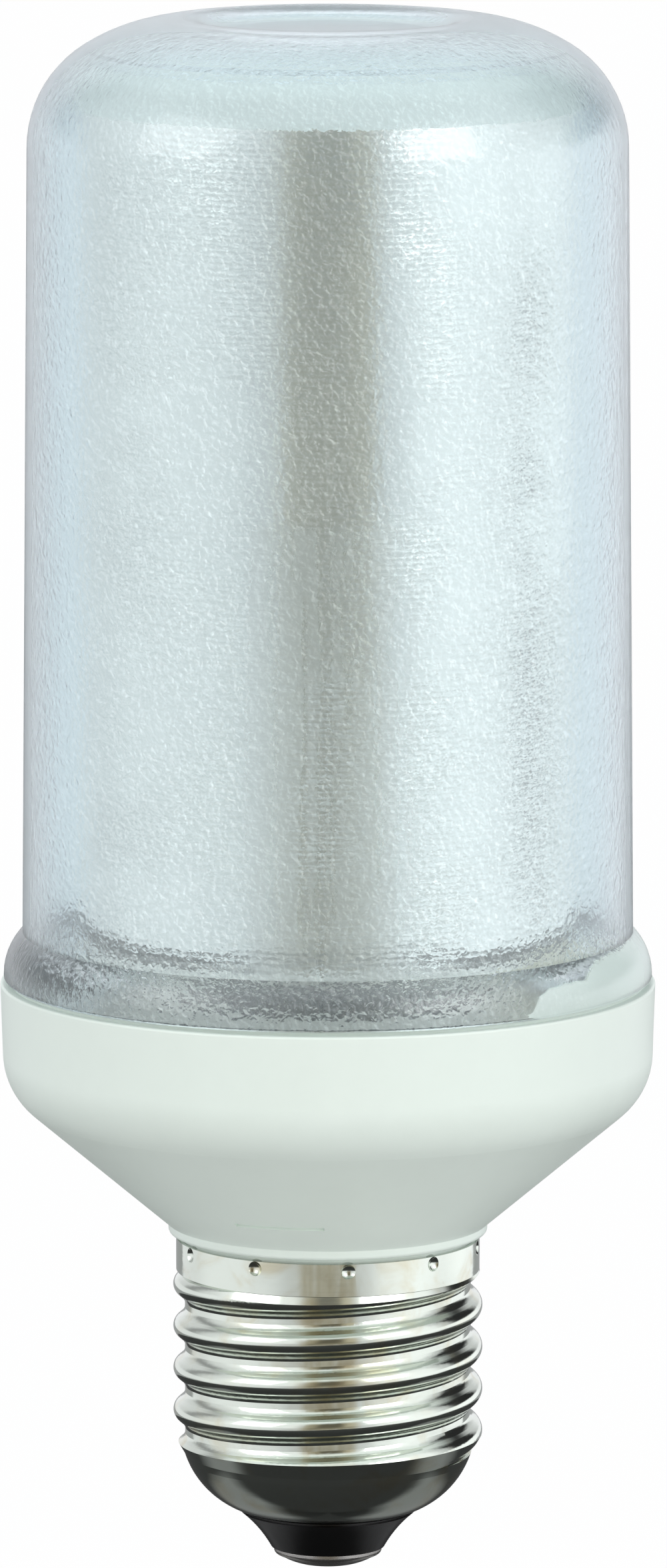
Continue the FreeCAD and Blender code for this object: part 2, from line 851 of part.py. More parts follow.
def make_cover():
    body = new_body("diffuser_cover")
    tube_foot = s.seam_height + s.tube_foot_height
    wall = s.cover_wall
    spigot_bottom = s.seam_height - s.spigot_depth
    outside = turn(body, "cover_outside", [
        line(ZERO, spigot_bottom),
        line(s.spigot_radius, spigot_bottom),
        line(s.spigot_radius, s.seam_height),
        line(s.flange_radius, s.seam_height),
        line(s.flange_radius, s.seam_height + s.flange_straight),
        arc(s.tube_foot_radius, tube_foot, s.shoulder_arc),
    ] + cover_runs(ZERO))
    round_edge(body, outside, "flange_round", s.flange_radius, s.seam_height, s.flange_round)
    hollow_radius = s.spigot_radius - s.spigot_wall
    turn(body, "cover_inside", [
        line(ZERO, spigot_bottom),
        line(hollow_radius, spigot_bottom),
        line(hollow_radius, s.seam_height),
        line(s.tube_foot_radius - wall, tube_foot),
    ] + cover_runs(wall), "PartDesign::Groove")
    return body


def make_cover_adhesive():
    body = new_body("cover_adhesive")
    outside = s.rim_radius - s.housing_wall
    bottom = s.seam_height - s.spigot_depth
    turn(body, "bead", [
        line(s.spigot_radius, bottom),
        line(outside, bottom),
        line(outside, s.seam_height),
        line(s.spigot_radius, s.seam_height),
    ])
    return body


# Light source: carrier, flexible board, light-emitting diodes, sleeve and cap


def make_carrier():
    body = new_body("led_carrier")
    top = s.drum_cap_top - s.drum_cap_plate
    bottom = s.carrier_flange_top - s.carrier_flange_thickness
    inside = s.carrier_radius - s.carrier_wall
    turn(body, "carrier", [
        line(s.carrier_window_radius, bottom),
        line(s.carrier_flange_radius, bottom),
        line(s.carrier_flange_radius, s.carrier_flange_top),
        line(s.carrier_radius, s.carrier_flange_top),
        line(s.carrier_radius, top),
        line(inside, top),
        line(inside, s.carrier_flange_top),
        line(s.carrier_window_radius, s.carrier_flange_top),
    ])
    sketch = new_sketch(body, "tail_slot_outline", "XY_Plane")
    left = s.flange_slot_width / 2
    near = s.carrier_radius - s.flange_slot_depth / 4
    far = near + s.flange_slot_depth
    corners = [Vector(x, y, 0) for x, y in ((-left.value, near.value), (left.value, near.value),
                                            (left.value, far.value), (-left.value, far.value))]
    for start, end in zip(corners, corners[1:] + corners[:1]):
        sketch.addGeometry(Part.LineSegment(start, end))
    for side in range(4):
        sketch.addConstraint(Sketcher.Constraint("Coincident", side, 2, (side + 1) % 4, 1))
    sketch.addConstraint(Sketcher.Constraint("Horizontal", 0))
    sketch.addConstraint(Sketcher.Constraint("Horizontal", 2))
    sketch.addConstraint(Sketcher.Constraint("Vertical", 1))
    sketch.addConstraint(Sketcher.Constraint("Vertical", 3))
    tie(sketch, 1, 1, "DistanceX", left)
    tie(sketch, 1, 1, "DistanceY", near)
    tie(sketch, 1, 2, "DistanceY", far)
    width = sketch.addConstraint(Sketcher.Constraint("DistanceX", 0, 1, 0, 2, 2 * left.value))
    sketch.setExpression(f"Constraints[{width}]", s.flange_slot_width.formula)
    slot = body.newObject("PartDesign::Pocket", "tail_slot")
    slot.Profile = sketch
    slot.Reversed = True
    bind(slot, Length=s.carrier_flange_top)
    doc.recompute()
    return body


def make_flex_board():
    """A thin board wrapped round the carrier, open at its seam, with a tail to the driver."""
    inner = s.carrier_radius + s.flex_clearance
    outer = inner + s.flex_thickness

    def arc_wall(name, angle, middle, bottom, top):
        """A piece of tube that spans an angle about a direction."""
        outside = rod(f"{name}_outside", outer, top - bottom, ZERO, ZERO, bottom)
        bind(outside, Angle=angle)
        outside.setExpression("Placement.Rotation.Angle", (middle - angle / 2).formula)
        inside = rod(f"{name}_inside", inner, top - bottom, ZERO, ZERO, bottom)
        return joined("Part::Cut", name, outside, inside)

    wrap_angle = Size(360.0, "360") - s.flex_seam_angle
    wrap = arc_wall("flex_wrap", wrap_angle, s.flex_seam_direction + 180, s.flex_bottom_height,
                    s.flex_top_height)
    tail = arc_wall("flex_tail", s.flex_tail_angle, s.flex_tail_direction, s.flex_tail_bottom,
                    s.flex_bottom_height)
    return joined("Part::MultiFuse", "led_flex_board", wrap, tail)


def make_led_rows():
    """Rows of packages, each row one ring of separate solids on the flexible board."""
    face = s.carrier_radius + s.flex_clearance + s.flex_thickness + s.led_solder
    rows = []
    for row in range(SIZES["led_rows"]):
        height = s.led_row_first.value + row * s.led_row_pitch.value
        packages = []
        for column in range(SIZES["led_columns"]):
            package = Part.makeBox(
                s.led_thickness.value, s.led_width.value, s.led_length.value,
                Vector(face.value, -s.led_width.value / 2, height - s.led_length.value / 2),
            )
            package.rotate(Vector(), Vector(0, 0, 1), (column + 0.5) * 360 / SIZES["led_columns"])
            packages.append(package)
        rows.append(feature_of(f"led_row_{row + 1}", Part.makeCompound(packages)))
    return rows


def make_sleeve():
    body = new_body("inner_sleeve")
    inside = s.sleeve_radius - s.sleeve_wall
    turn(body, "sleeve", [
        line(inside, s.carrier_flange_top),
        line(s.sleeve_radius, s.carrier_flange_top),
        line(s.sleeve_radius, s.drum_cap_bottom),
        line(inside, s.drum_cap_bottom),
    ])
    return body


def make_drum_cap():
    """A moulded cap: its edge covers the sleeve's end, and two ribs locate sleeve and carrier."""
    body = new_body("drum_cap")
    plate = s.drum_cap_top - s.drum_cap_plate
    outer_rib = s.sleeve_radius - s.sleeve_wall - s.drum_fit
    inner_rib = s.carrier_radius - s.carrier_wall - s.drum_fit
    foot = s.drum_cap_bottom - s.drum_cap_spigot
    outside = turn(body, "cap", [
        line(ZERO, plate),
        line(inner_rib - s.drum_cap_rib, plate),
        line(inner_rib - s.drum_cap_rib, foot),
        line(inner_rib, foot),
        line(inner_rib, plate),
        line(outer_rib - s.drum_cap_rib, plate),
        line(outer_rib - s.drum_cap_rib, foot),
        line(outer_rib, foot),
        line(outer_rib, s.drum_cap_bottom),
        line(s.drum_cap_radius, s.drum_cap_bottom),
        line(s.drum_cap_radius, s.drum_cap_top),
        line(ZERO, s.drum_cap_top),
    ])
    round_edge(body, outside, "cap_round", s.drum_cap_radius, s.drum_cap_top, s.drum_cap_round)
    return body


# Driver board and the parts that it carries


def make_driver_board():
    return [rod("driver_board", s.board_radius, s.board_thickness, ZERO, ZERO, s.board_bottom)]


def make_hanging_parts():
    """Parts under the board, in the cone and the neck."""
    under = s.board_bottom
    coil_middle = s.inductor_length - s.inductor_flange * 2
    coil_bottom = under - s.inductor_length
    flanges = [
        rod(f"inductor_flange_{name}", s.inductor_radius, s.inductor_flange, s.inductor_east,
            s.inductor_north, bottom)
        for name, bottom in (("low", coil_bottom), ("high", under - s.inductor_flange))
    ]
    winding = rod("inductor_winding", s.inductor_waist, coil_middle, s.inductor_east,
                  s.inductor_north, coil_bottom + s.inductor_flange)
    return [
        rod("bulk_capacitor", s.bulk_capacitor_radius, s.bulk_capacitor_length,
            s.bulk_capacitor_east, s.bulk_capacitor_north, under - s.bulk_capacitor_length),
        joined("Part::MultiFuse", "power_inductor", winding, *flanges),
        block("film_capacitor", s.film_capacitor_length, s.film_capacitor_width,
              s.film_capacitor_height, ZERO, s.film_capacitor_north,
              under - s.film_capacitor_height),
        block("bridge_rectifier", s.rectifier_length, s.rectifier_width, s.rectifier_height,
              s.rectifier_east, s.rectifier_north, under - s.rectifier_height),
        make_fuse_resistor(),
    ]


def make_fuse_resistor():
    """A fusible resistor that lies below the board on its two bent leads."""
    under = s.board_bottom.value
    radius = s.fuse_resistor_radius.value
    wire = s.fuse_resistor_lead.value
    half = s.fuse_resistor_length.value / 2
    axis_height = under - radius - s.fuse_resistor_gap.value
    reach = half + s.fuse_resistor_knee.value
    centre = Vector(s.fuse_resistor_east.value, s.fuse_resistor_north.value, axis_height)
    along = Vector(1, 0, 0)
    shape = Part.makeCylinder(radius, 2 * half, centre - along * half, along)
    for side in (-1, 1):
        bend = centre + along * side * reach
        shape = shape.fuse([
            Part.makeCylinder(wire, reach, centre, along * side),
            Part.makeSphere(wire, bend),
            Part.makeCylinder(wire, under - axis_height, bend),
        ])
    return feature_of("fusible_resistor", shape)


def make_standing_parts():
    """Parts on top of the board, under the drum and in its carrier."""
    top = s.board_bottom + s.board_thickness
    tail_radius = s.carrier_radius + s.flex_clearance + s.flex_thickness / 2
    housing = block("connector_housing", s.connector_length, s.connector_width,
                    s.connector_height, ZERO, tail_radius, top)
    slot_bottom = s.flex_tail_bottom - s.drum_fit
    slot = block("connector_slot", s.connector_slot_length, s.connector_slot_width,
                 s.connector_height, ZERO, tail_radius, slot_bottom)
    return [
        rod("output_capacitor", s.output_capacitor_radius, s.output_capacitor_length,
            s.output_capacitor_east, s.output_capacitor_north, top),
        block("driver_chip", s.driver_chip_length, s.driver_chip_width, s.driver_chip_height,
              s.driver_chip_east, s.driver_chip_north, top),
        block("flyback_diode", s.diode_length, s.diode_width, s.diode_height, s.diode_east,
              s.diode_north, top),
        joined("Part::Cut", "board_connector", housing, slot),
        make_chip_resistors(),
    ]


def make_chip_resistors():
    """A line of equal chip resistors on top of the board."""
    count = SIZES["chip_resistor_count"]
    top = s.board_bottom.value + s.board_thickness.value
    length = s.chip_resistor_length.value
    width = s.chip_resistor_width.value
    chips = []
    for number in range(count):
        east = (number - (count - 1) / 2) * s.chip_resistor_spacing.value
        corner = Vector(east - width / 2, s.chip_resistor_north.value - length / 2, top)
        chips.append(Part.makeBox(width, length, s.chip_resistor_height.value, corner))
    return feature_of("chip_resistors", Part.makeCompound(chips))


# Leads from the cap to the driver board


def bent_tube(name, points, bends):
    """A round wire along straight runs joined by tangent arcs."""
    edges = []
    start = points[0]
    for corner, after, bend in zip(points[1:], points[2:], bends):
        coming = (corner - start).normalize()
        leaving = (after - corner).normalize()
        cut_back = bend * math.tan(coming.getAngle(leaving) / 2)
        arc_start = corner - coming * cut_back
        arc_end = corner + leaving * cut_back
        inward = (leaving - coming).normalize()
        centre_distance = math.hypot(bend, cut_back)
        middle = corner + inward * (centre_distance - bend)
        edges.append(Part.LineSegment(start, arc_start).toShape())
        edges.append(Part.Arc(arc_start, middle, arc_end).toShape())
        start = arc_end
    edges.append(Part.LineSegment(start, points[-1]).toShape())
    path = Part.Wire(edges)
    direction = points[1] - points[0]
    section = Part.Wire([Part.Circle(points[0], direction, s.lead_radius.value).toShape()])
    return feature_of(name, path.makePipeShell([section], True, False))


def make_leads():
    under = s.board_bottom.value
    east = s.live_lead_east.value
    north = s.live_lead_north.value
    shank_top = s.insulator_top_height.value + s.contact_shank_proud.value
    live = [
        Vector(0, 0, shank_top),
        Vector(0, 0, s.live_lead_rise.value),
        Vector(east, north, s.live_lead_turn.value),
        Vector(east, north, under),
    ]
    height = s.neutral_lead_height.value
    skin_radius = dome_point(s.shell_wall.value, height=height)[0]
    inset = s.neutral_lead_inset.value
    neutral = [
        Vector(0, skin_radius - s.lead_gap.value, height),
        Vector(0, inset, height),
        Vector(0, inset, under),
    ]
    wide = s.live_lead_bend.value
    return [
        bent_tube("live_lead", live, [wide, wide]),
        bent_tube("neutral_lead", neutral, [s.lead_bend.value]),
    ]


def export(pieces):
    """Check every object, then write one file for each piece."""
    doc.recompute()
    for item in doc.Objects:
        if "Invalid" in item.State or "Error" in item.State:
            raise ValueError(f"{item.Label} failed: {item.State}")
    os.makedirs("parts", exist_ok=True)
    for piece in pieces:
        shape = piece.Shape
        if shape.isNull() or not shape.isValid():
            raise ValueError(f"{piece.Label} has no valid shape")
        shape.exportStep(f"parts/{piece.Label}.step")
        print(f"{piece.Label}: {len(shape.Solids)} solid, {shape.Volume:.1f} mm3")


export([
    make_screw_shell(),
    make_centre_contact(),
    make_insulator(),
    make_housing(),
    make_cover(),
    make_cover_adhesive(),
    make_carrier(),
    make_flex_board(),
    *make_led_rows(),
    make_sleeve(),
    make_drum_cap(),
    *make_driver_board(),
    *make_hanging_parts(),
    *make_standing_parts(),
    *make_leads(),
])
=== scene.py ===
"""Looks of a tubular LED lamp with an E27 screw cap.

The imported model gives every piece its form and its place, in metres: Z is the lamp's axis, and
its front faces -Y. The classes below give each sub-assembly its materials, build the pieces that
only show on the surface, and set up the studio and the camera.
"""

import logging
import math
from dataclasses import dataclass, field
from enum import Enum

import bmesh
import bpy
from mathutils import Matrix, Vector


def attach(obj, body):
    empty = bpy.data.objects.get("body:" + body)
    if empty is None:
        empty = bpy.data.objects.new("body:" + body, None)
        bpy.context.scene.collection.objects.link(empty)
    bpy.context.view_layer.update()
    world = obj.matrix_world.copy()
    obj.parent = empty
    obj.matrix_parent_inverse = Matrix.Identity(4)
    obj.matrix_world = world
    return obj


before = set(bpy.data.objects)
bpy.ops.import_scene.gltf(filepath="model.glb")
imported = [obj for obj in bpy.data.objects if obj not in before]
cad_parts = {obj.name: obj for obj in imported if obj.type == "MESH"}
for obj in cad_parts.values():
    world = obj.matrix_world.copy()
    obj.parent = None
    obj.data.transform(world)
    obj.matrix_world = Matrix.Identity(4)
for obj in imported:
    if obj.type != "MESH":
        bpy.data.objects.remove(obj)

MM = 0.001
BODY = "root"
LOG = logging.getLogger("led_lamp")

Colour = tuple[float, float, float]
Place = tuple[float, float, float]
Span = tuple[float, float]
Stops = tuple[tuple[float, float], ...]


def srgb(red: int, green: int, blue: int) -> Colour:
    """Turn an 8-bit display colour into the linear colour that nodes take.

    Args:
        red: Red, 0 to 255.
        green: Green, 0 to 255.
        blue: Blue, 0 to 255.

    Returns:
        The linear red, green and blue.
    """
    def linear(level: int) -> float:
        share = level / 255
        return share / 12.92 if share <= 0.04045 else ((share + 0.055) / 1.055) ** 2.4

    return linear(red), linear(green), linear(blue)


class Graph:
    """A node tree with short calls that add nodes and wire them."""

    def __init__(self, tree: bpy.types.NodeTree) -> None:
        """Start on a tree.

        Args:
            tree: The node tree to fill.
        """
        self.tree = tree

    def add(self, kind: str, settings: dict | None = None, **inputs) -> bpy.types.Node:
        """Add a node.

        Args:
            kind: The node's type name.
            settings: Properties of the node.
            inputs: Values or sockets for the inputs, by name with underscores for spaces, or
                by number with an underscore before it.

        Returns:
            The new node.
        """
        node = self.tree.nodes.new(kind)
        for name, value in (settings or {}).items():
            setattr(node, name, value)
        for name, value in inputs.items():
            key = int(name[1:]) if name.startswith("_") else name.replace("_", " ")
            self.feed(node.inputs[key], value)
        return node

    def feed(self, socket: bpy.types.NodeSocket, value) -> None:
        """Wire a socket to another one, or set its value.

        Args:
            socket: The input socket.
            value: A socket, a number, or a sequence of numbers.
        """
        if isinstance(value, bpy.types.NodeSocket):
            self.tree.links.new(value, socket)
        elif socket.type == "RGBA" and len(value) == 3:
            socket.default_value = (*value, 1.0)
        else:
            socket.default_value = value

    def math(self, operation: str, *values) -> bpy.types.NodeSocket:
        """Add a Math node.

        Args:
            operation: The operation's name.
            values: Its operands, numbers or sockets.

        Returns:
            The result.
        """
        node = self.add("ShaderNodeMath", {"operation": operation})
        for socket, value in zip(node.inputs, values):
            self.feed(socket, value)
        return node.outputs[0]

    def step(self, value, low: float, high: float) -> bpy.types.NodeSocket:
        """Rise smoothly from 0 at low to 1 at high.

        Args:
            value: The socket to map.
            low: Where the result starts to rise.
            high: Where it reaches 1.

        Returns:
            The mapped value.
        """
        node = self.add("ShaderNodeMapRange", {"interpolation_type": "SMOOTHSTEP"},
                        Value=value, From_Min=low, From_Max=high)
        return node.outputs[0]

    def blend(self, factor, first, second) -> bpy.types.NodeSocket:
        """Mix two colours.

        Args:
            factor: The second colour's share.
            first: A colour or socket.
            second: A colour or socket.

        Returns:
            The mixed colour.
        """
        node = self.add("ShaderNodeMix", {"data_type": "RGBA"})
        self.feed(node.inputs[0], factor)
        self.feed(node.inputs[6], first)
        self.feed(node.inputs[7], second)
        return node.outputs[2]

    def noise(self, place, scale, detail: float = 2.0,
              distortion: float = 0.0) -> bpy.types.NodeSocket:
        """Add a Noise Texture.

        Args:
            place: The coordinates.
            scale: Repeats for each metre.
            detail: Octaves.
            distortion: How far it is bent.

        Returns:
            The noise value.
        """
        node = self.add("ShaderNodeTexNoise", Vector=place, Scale=scale, Detail=detail,
                        Distortion=distortion)
        return node.outputs[0]


class Effect(Enum):
    """The shared shader groups, by their data-block names."""

    ROUND = "round_place"
    PEBBLE = "pebble"
    TONE = "tone"
    GRAIN = "moulded_grain"
    RINGS = "fine_rings"
    RUBBED = "rubbed_metal"


@dataclass
class EffectLibrary:
    """Builds the shader groups that several finishes share."""

    groups: dict[Effect, bpy.types.NodeTree] = field(default_factory=dict)

    def build(self) -> None:
        """Make every group once."""
        for effect, maker in (
            (Effect.ROUND, self.round_place),
            (Effect.PEBBLE, self.pebble),
            (Effect.TONE, self.tone),
            (Effect.GRAIN, self.grain),
            (Effect.RINGS, self.rings),
            (Effect.RUBBED, self.rubbed),
        ):
            self.groups[effect] = maker()
            LOG.info("effect %s", effect.value)

    def start(self, effect: Effect, inputs: dict[str, float | tuple[float, ...]],
              outputs: dict[str, str]) -> tuple[Graph, bpy.types.Node, bpy.types.Node]:
        """Open a new group, which takes coordinates.

        Args:
            effect: Which group it is.
            inputs: Names and default values of its number and colour inputs.
            outputs: Names and socket types of its outputs.

        Returns:
            The graph, its input node and its output node.
        """
        tree = bpy.data.node_groups.new(effect.value, "ShaderNodeTree")
        tree.interface.new_socket("Vector", in_out="INPUT", socket_type="NodeSocketVector")
        for name, value in inputs.items():
            kind = "NodeSocketColor" if isinstance(value, tuple) else "NodeSocketFloat"
            socket = tree.interface.new_socket(name, in_out="INPUT", socket_type=kind)
            socket.default_value = value
        for name, kind in outputs.items():
            tree.interface.new_socket(name, in_out="OUTPUT", socket_type=kind)
        graph = Graph(tree)
        return graph, graph.add("NodeGroupInput"), graph.add("NodeGroupOutput")

    def round_place(self) -> bpy.types.NodeTree:
        """Coordinates unrolled about the lamp's axis: way round, height and radius, in metres."""
        graph, given, result = self.start(Effect.ROUND, {"Radius": 0.02},
                                          {"Vector": "NodeSocketVector"})
        parts = graph.add("ShaderNodeSeparateXYZ", Vector=given.outputs["Vector"])
        front = graph.math("MULTIPLY", parts.outputs[1], -1.0)
        angle = graph.math("ARCTAN2", parts.outputs[0], front)
        way = graph.math("MULTIPLY", angle, given.outputs["Radius"])
        square = graph.math("ADD", graph.math("POWER", parts.outputs[0], 2.0),
                            graph.math("POWER", parts.outputs[1], 2.0))
        joined = graph.add("ShaderNodeCombineXYZ", X=way, Y=parts.outputs[2],
                           Z=graph.math("SQRT", square))
        graph.feed(result.inputs["Vector"], joined.outputs[0])
        return graph.tree

    def pebble(self) -> bpy.types.NodeTree:
        """The worm-like orange peel of a textured mould."""
        graph, given, result = self.start(
            Effect.PEBBLE, {"Scale": 2100.0}, {"Height": "NodeSocketFloat"})
        place = given.outputs["Vector"]
        scale = given.outputs["Scale"]
        bent = graph.noise(place, scale, 1.0, 0.5)
        coarse = graph.noise(place, graph.math("MULTIPLY", scale, 0.5), 1.0, 0.3)
        height = graph.math("ADD", graph.math("MULTIPLY", bent, 0.7),
                            graph.math("MULTIPLY", coarse, 0.45))
        graph.feed(result.inputs["Height"], height)
        return graph.tree

    def tone(self) -> bpy.types.NodeTree:
        """A faint drift of tone over a colour, and a mask for matching changes of gloss."""
        graph, given, result = self.start(
            Effect.TONE, {"Color": (0.8, 0.8, 0.8, 1.0), "Scale": 60.0, "Spread": 0.04},
            {"Color": "NodeSocketColor", "Mask": "NodeSocketFloat"})
        patch = graph.noise(given.outputs["Vector"], given.outputs["Scale"], 3.0, 0.3)
        fine = graph.noise(given.outputs["Vector"],
                           graph.math("MULTIPLY", given.outputs["Scale"], 9.0), 3.0)
        mask = graph.math("ADD", graph.math("MULTIPLY", patch, 0.65),
                          graph.math("MULTIPLY", fine, 0.35))
        swing = graph.math("MULTIPLY", graph.math("SUBTRACT", mask, 0.5),
                           graph.math("MULTIPLY", given.outputs["Spread"], 4.0))
        gain = graph.math("ADD", swing, 1.0)
        toned = graph.add("ShaderNodeVectorMath", {"operation": "SCALE"},
                          _0=given.outputs["Color"], Scale=gain)
        graph.feed(result.inputs["Color"], toned.outputs[0])
        graph.feed(result.inputs["Mask"], mask)
        return graph.tree

    def grain(self) -> bpy.types.NodeTree:
        """The fine spark-eroded grain of a moulding."""
        graph, given, result = self.start(
            Effect.GRAIN, {"Scale": 4000.0}, {"Height": "NodeSocketFloat"})
        fine = graph.noise(given.outputs["Vector"], given.outputs["Scale"], 2.0)
        wave = graph.noise(given.outputs["Vector"],
                           graph.math("MULTIPLY", given.outputs["Scale"], 0.04), 2.0)
        height = graph.math("ADD", graph.math("MULTIPLY", fine, 0.4),
                            graph.math("MULTIPLY", wave, 0.6))
        graph.feed(result.inputs["Height"], height)
        return graph.tree

    def rings(self) -> bpy.types.NodeTree:
        """Fine rings round the axis, deeper in some patches than in others."""
        graph, given, result = self.start(
            Effect.RINGS, {"Pitch": 0.00047},
            {"Height": "NodeSocketFloat", "Mask": "NodeSocketFloat"})
        parts = graph.add("ShaderNodeSeparateXYZ", Vector=given.outputs["Vector"])
        waver = graph.math("MULTIPLY", graph.noise(given.outputs["Vector"], 120.0, 2.0), 0.0003)
        turns = graph.math("DIVIDE", graph.math("ADD", parts.outputs[1], waver),
                           given.outputs["Pitch"])
        wave = graph.math("SINE", graph.math("MULTIPLY", turns, 2 * math.pi))
        patch = graph.noise(given.outputs["Vector"], 55.0, 2.0, 0.4)
        depth = graph.step(patch, 0.35, 0.62)
        height = graph.math("MULTIPLY", graph.math("ADD", graph.math("MULTIPLY", wave, 0.5), 0.5),
                            graph.math("ADD", graph.math("MULTIPLY", depth, 0.8), 0.2))
        graph.feed(result.inputs["Height"], height)
        graph.feed(result.inputs["Mask"], depth)
        return graph.tree

    def rubbed(self) -> bpy.types.NodeTree:
        """Marks of rolling on plated sheet: fine lines round the axis and soft dull patches."""
        graph, given, result = self.start(
            Effect.RUBBED, {"Scale": 300.0},
            {"Height": "NodeSocketFloat", "Mask": "NodeSocketFloat"})
        place = graph.add("ShaderNodeVectorMath", {"operation": "MULTIPLY"},
                          _0=given.outputs["Vector"], _1=(0.12, 8.0, 1.0))
        lines = graph.noise(place.outputs[0], given.outputs["Scale"], 4.0)
        dents = graph.noise(given.outputs["Vector"], 420.0, 2.0, 0.5)
        height = graph.math("ADD", graph.math("MULTIPLY", lines, 0.25),
                            graph.math("MULTIPLY", dents, 0.75))
        graph.feed(result.inputs["Height"], height)
        patch = graph.noise(given.outputs["Vector"], 260.0, 4.0, 0.8)
        graph.feed(result.inputs["Mask"], patch)
        return graph.tree


EFFECTS = EffectLibrary()


class Canvas(Graph):
    """The node tree of one material, with its shader and the lamp's coordinates at hand."""

    def __init__(self, name: str) -> None:
        """Make an empty material.

        Args:
            name: The material's name.
        """
        self.material = bpy.data.materials.new(name)
        self.material.use_nodes = True
        self.material.node_tree.nodes.clear()
        super().__init__(self.material.node_tree)
        self.shader = self.add("ShaderNodeBsdfPrincipled")
        output = self.add("ShaderNodeOutputMaterial")
        self.feed(output.inputs["Surface"], self.shader.outputs[0])
        self.place = self.add("ShaderNodeTexCoord").outputs["Object"]

    def use(self, effect: Effect, **inputs) -> bpy.types.Node:
        """Add a shared group.

        Args:
            effect: Which group.
            inputs: Values or sockets for its inputs.

        Returns:
            The group node.
        """
        node = self.tree.nodes.new("ShaderNodeGroup")
        node.node_tree = EFFECTS.groups[effect]
        inputs.setdefault("Vector", self.place)
        for name, value in inputs.items():
            self.feed(node.inputs[name], value)
        return node

    def unrolled(self, radius: float) -> bpy.types.NodeSocket:
        """The lamp's coordinates unrolled at a radius.

        Args:
            radius: The radius, in metres.

        Returns:
            The coordinates.
        """
        return self.use(Effect.ROUND, Radius=radius).outputs[0]

    def surface(self, **values) -> None:
        """Set or wire inputs of the shader.

        Args:
            values: Values or sockets, by input name with underscores for spaces.
        """
        for name, value in values.items():
            self.feed(self.shader.inputs[name.replace("_", " ")], value)

    def relief(self, height, depth: float, strength=1.0) -> None:
        """Give the shader a relief.

        Args:
            height: The height, 0 to 1.
            depth: The real depth of 1, in metres.
            strength: The share of the effect, a number or socket.
        """
        bump = self.add("ShaderNodeBump", Height=height, Distance=depth, Strength=strength)
        self.surface(Normal=bump.outputs[0])

    def between(self, mask, low: float, high: float) -> bpy.types.NodeSocket:
        """Map a mask onto a range.

        Args:
            mask: A value near 0 to 1.
            low: The result where the mask is low.
            high: The result where it is high.

        Returns:
            The mapped value.
        """
        return self.span(mask, (0.3, 0.7), (low, high))

    def span(self, value, given: Span, result: Span) -> bpy.types.NodeSocket:
        """Map one range onto another in a straight line, and hold its ends.

        Args:
            value: The socket to map.
            given: The first and last value.
            result: What they turn into.

        Returns:
            The mapped value.
        """
        node = self.add("ShaderNodeMapRange", Value=value, From_Min=given[0], From_Max=given[1],
                        To_Min=result[0], To_Max=result[1])
        return node.outputs[0]


@dataclass(frozen=True)
class Moulded:
    """An opaque plastic moulding."""

    name: str
    colour: Colour
    roughness: float = 0.42
    grain: float = 0.006 * MM
    spread: float = 0.02
    # glow paints light: emission in the moulding's own colour, for a part that is no lamp.
    glow: float = 0.0
    gloss_swing: float = 0.05

    def build(self) -> Canvas:
        """Make the material.

        Returns:
            The canvas that holds it.
        """
        canvas = Canvas(self.name)
        tone = canvas.use(Effect.TONE, Color=(*self.colour, 1.0), Spread=self.spread)
        canvas.surface(
            Base_Color=tone.outputs["Color"],
            Roughness=canvas.between(tone.outputs["Mask"], self.roughness - self.gloss_swing,
                                     self.roughness + self.gloss_swing),
            IOR=1.5,
            # Emission here is painted light, set by glow.
            Emission_Color=tone.outputs["Color"],
            Emission_Strength=self.glow,
        )
        canvas.relief(canvas.use(Effect.GRAIN).outputs["Height"], self.grain)
        return canvas


@dataclass(frozen=True)
class Plated:
    """Bright plated or bare sheet metal, worked round the axis."""

    name: str
    colour: Colour
    dull: Colour
    radius: float
    roughness: float = 0.12
    dull_roughness: float = 0.1
    dull_mask: Span = (0.45, 0.8)
    relief: float = 0.01 * MM

    def build(self) -> Canvas:
        """Make the material.

        Returns:
            The canvas that holds it.
        """
        canvas = Canvas(self.name)
        marks = canvas.use(Effect.RUBBED, Vector=canvas.unrolled(self.radius))
        mask = marks.outputs["Mask"]
        canvas.surface(
            Base_Color=canvas.blend(canvas.step(mask, *self.dull_mask), self.colour, self.dull),
            Metallic=1.0,
            Roughness=canvas.between(mask, self.roughness,
                                     self.roughness + self.dull_roughness),
        )
        canvas.relief(marks.outputs["Height"], self.relief)
        return canvas


